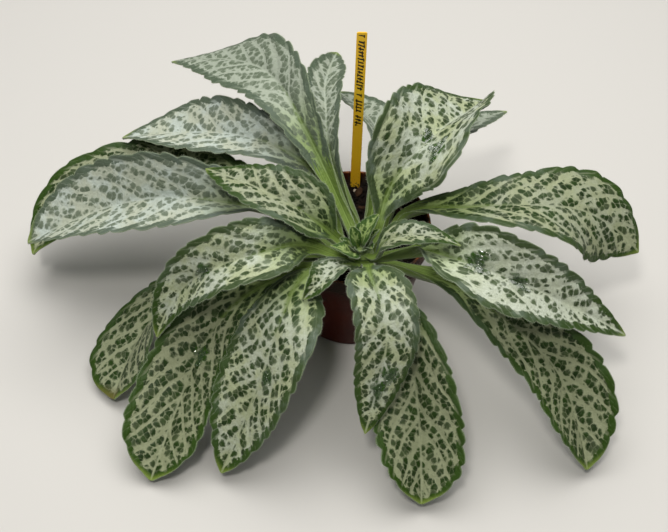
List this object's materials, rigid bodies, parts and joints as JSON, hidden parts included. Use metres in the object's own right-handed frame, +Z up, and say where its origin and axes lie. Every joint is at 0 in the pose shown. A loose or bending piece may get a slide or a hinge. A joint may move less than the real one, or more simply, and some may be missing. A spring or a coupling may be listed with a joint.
{
  "type": "potted primulina",
  "caption": "Silver-leaved primulina rosette with long toothed leaves, growing in a small round plastic nursery pot with a plain plant label.",
  "frame": {"origin": "middle of the pot's flat base, on the surface that it stands on", "axes": "+Z up along the pot's axis; -Y is the plant's front, the side that the stem leans to; +X to the right seen from the front"},
  "size_m": [0.3406, 0.2692, 0.1646],
  "materials": {
    "leaf": "satin",
    "stem": "satin",
    "pot_plastic": "satin",
    "soil": "matte",
    "label_plastic": "satin"
  },
  "bodies": {
    "root": {"pot": "pot_plastic", "soil": "soil", "stem": "stem", "label": "label_plastic", "leaf_right_upper": "leaf", "leaf_right_long": "leaf", "leaf_right_low": "leaf", "leaf_front_low": "leaf", "leaf_front_upper": "leaf", "leaf_front_small": "leaf", "leaf_front_left": "leaf", "leaf_front_left_wide": "leaf", "leaf_left_low": "leaf", "leaf_left_front": "leaf", "leaf_left_upper": "leaf", "leaf_left_far": "leaf", "leaf_left_far_under": "leaf", "leaf_back_left": "leaf", "leaf_back_left_tall": "leaf", "leaf_back": "leaf", "leaf_back_low": "leaf", "leaf_back_right_low": "leaf", "leaf_back_right": "leaf", "leaf_right_small": "leaf"}
  },
  "joints": []
}
